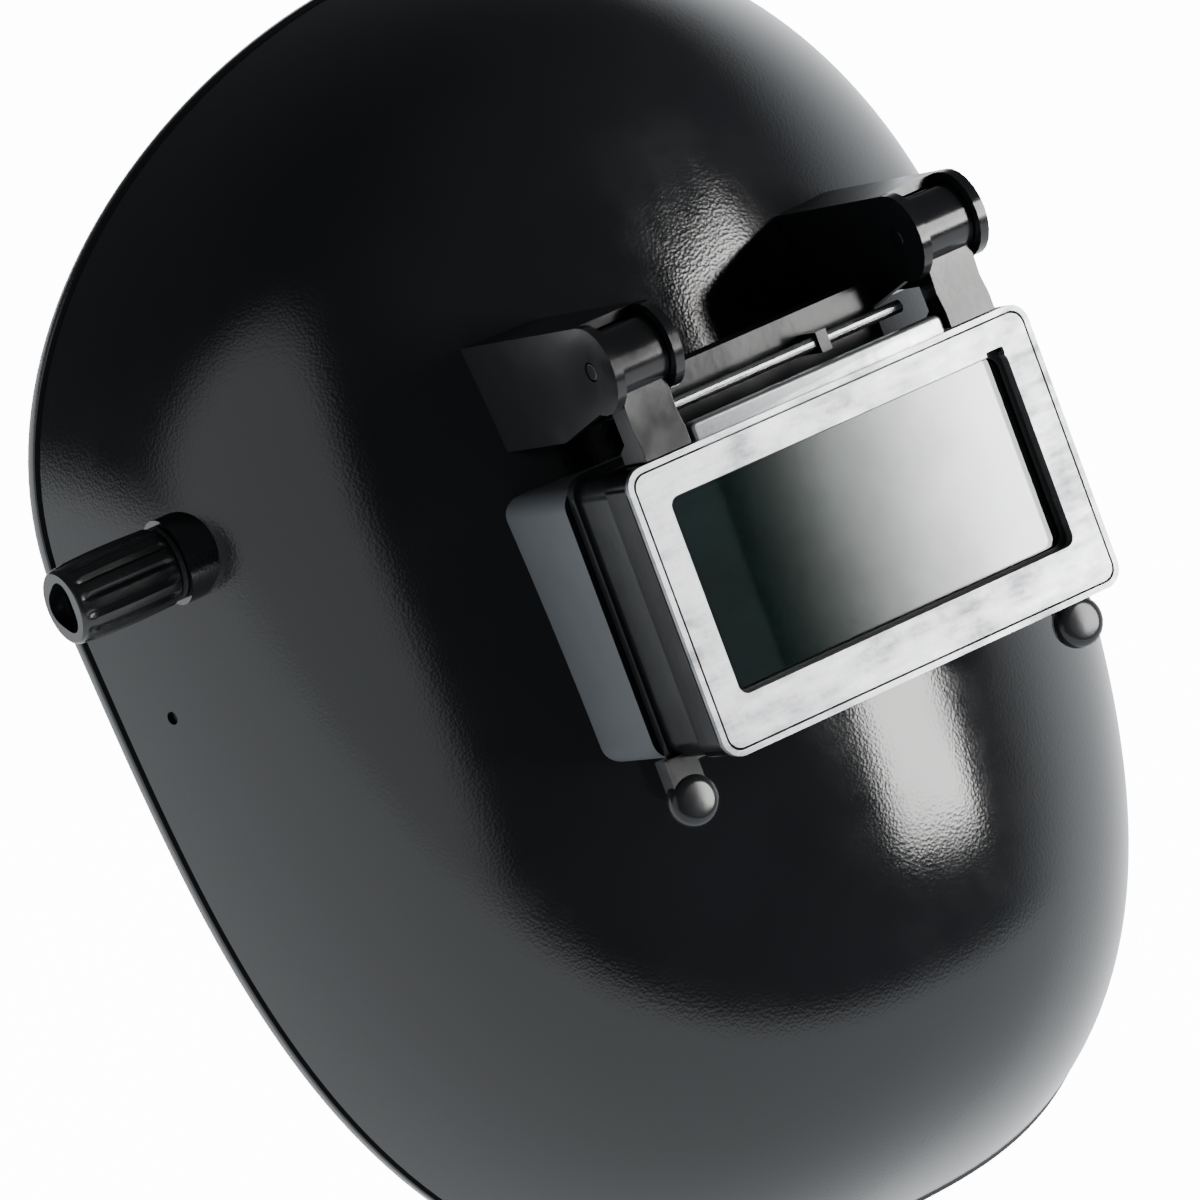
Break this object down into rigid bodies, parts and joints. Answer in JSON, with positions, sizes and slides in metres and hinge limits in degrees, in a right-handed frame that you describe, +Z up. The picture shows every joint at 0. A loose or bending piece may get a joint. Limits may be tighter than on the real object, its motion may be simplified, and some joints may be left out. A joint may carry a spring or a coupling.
{
  "type": "welding helmet",
  "caption": "Flip-front welding helmet: glossy shell with a lift-up lens cover on twin hinges, a side knob, and a head harness with a rear size knob.",
  "frame": {"origin": "middle of the tilt axis, midway between the two side bolts, where the wearer's head sits", "axes": "+Z up, -Y the front with the window, +X the wearer's left; the tilt axis lies along X"},
  "size_m": [0.2807, 0.2856, 0.3368],
  "materials": {
    "shell_black": "glossy fine grain",
    "knob_black": "satin moulded",
    "base_grey": "satin moulded",
    "cover_silver": "worn silver",
    "hinge_black": "glossy moulded",
    "filter_glass": "dark mirror gloss",
    "clear_glass": "clear",
    "rubber": "matte",
    "sweat_fabric": "padded towelling",
    "nape_fabric": "padded",
    "steel": "zinc plated",
    "gear_nylon": "natural nylon",
    "harness_black": "moulded matte"
  },
  "bodies": {
    "harness": {"adjuster_back_plate": "harness_black", "adjuster_cover": "harness_black", "arm_rivet_1_left": "harness_black", "arm_rivet_1_right": "harness_black", "arm_rivet_2_left": "harness_black", "arm_rivet_2_right": "harness_black", "crown_peg": "harness_black", "crown_strap_left": "harness_black", "crown_strap_right": "harness_black", "crown_stud_left": "harness_black", "crown_stud_right": "harness_black", "headband": "harness_black", "inner_washer_left": "steel", "inner_washer_right": "steel", "nape_pad": "nape_fabric", "pivot_bolt_left": "steel", "pivot_bolt_right": "steel", "pivot_cap_nut_left": "knob_black", "side_arm_left": "harness_black", "side_arm_right": "harness_black", "sweatband": "sweat_fabric"},
    "shell_unit": {"base_screw_lower_left": "steel", "base_screw_lower_right": "steel", "base_screw_upper_left": "steel", "base_screw_upper_right": "steel", "bracket_screw_lower_left": "steel", "bracket_screw_lower_right": "steel", "bracket_screw_upper_left": "steel", "bracket_screw_upper_right": "steel", "friction_washer_left": "rubber", "friction_washer_right": "rubber", "hinge_bracket_left": "hinge_black", "hinge_bracket_right": "hinge_black", "hinge_pin_left": "steel", "hinge_pin_right": "steel", "hinge_tension_rod": "steel", "inner_lens_gasket": "rubber", "inner_lens_spring": "steel", "inner_safety_lens": "clear_glass", "shell": "shell_black", "stop_pin_left": "harness_black", "stop_pin_right": "harness_black", "window_base_frame": "base_grey"},
    "lens_cover": {"cover_arm_left": "hinge_black", "cover_arm_right": "hinge_black", "cover_face_plate": "cover_silver", "cover_frame": "hinge_black", "cover_gasket": "rubber", "cover_glass": "clear_glass", "filter_lens": "filter_glass", "lens_retainer": "harness_black"},
    "knob_right": {"knob_nut_right": "steel", "tension_knob_right": "knob_black"},
    "size_knob": {"adjuster_knob": "knob_black", "size_pinion": "gear_nylon"},
    "rack_left": {"size_rack_left": "gear_nylon"},
    "rack_right": {"size_rack_right": "gear_nylon"}
  },
  "joints": [
    {"name": "shell_tilt", "type": "hinge", "parent": "harness", "child": "shell_unit", "pos_m": [0, 0, 0], "axis": [-1, 0, 0], "range_deg": [0, 60]},
    {"name": "cover_flip", "type": "hinge", "parent": "shell_unit", "child": "lens_cover", "pos_m": [0, -0.118, 0.015], "axis": [-1, 0, 0], "range_deg": [0, 115]},
    {"name": "knob_right_turn", "type": "hinge", "parent": "shell_unit", "child": "knob_right", "pos_m": [-0.13, 0, 0], "axis": [1, 0, 0], "range_deg": [0, 180]},
    {"name": "size_turn", "type": "hinge", "parent": "harness", "child": "size_knob", "pos_m": [0, 0.1354, -0.03051], "axis": [0, -1, 0], "range_deg": [-60, 60]},
    {"name": "rack_left_slide", "type": "slide", "parent": "harness", "child": "rack_left", "axis": [1, 0, 0], "range_m": [-0.0065, 0.0065]},
    {"name": "rack_right_slide", "type": "slide", "parent": "harness", "child": "rack_right", "axis": [-1, 0, 0], "range_m": [-0.0065, 0.0065]}
  ],
  "couplings": [
    {"joint": "rack_left_slide", "follows": "size_turn", "m_per_rad": -0.006},
    {"joint": "rack_right_slide", "follows": "size_turn", "m_per_rad": -0.006}
  ]
}
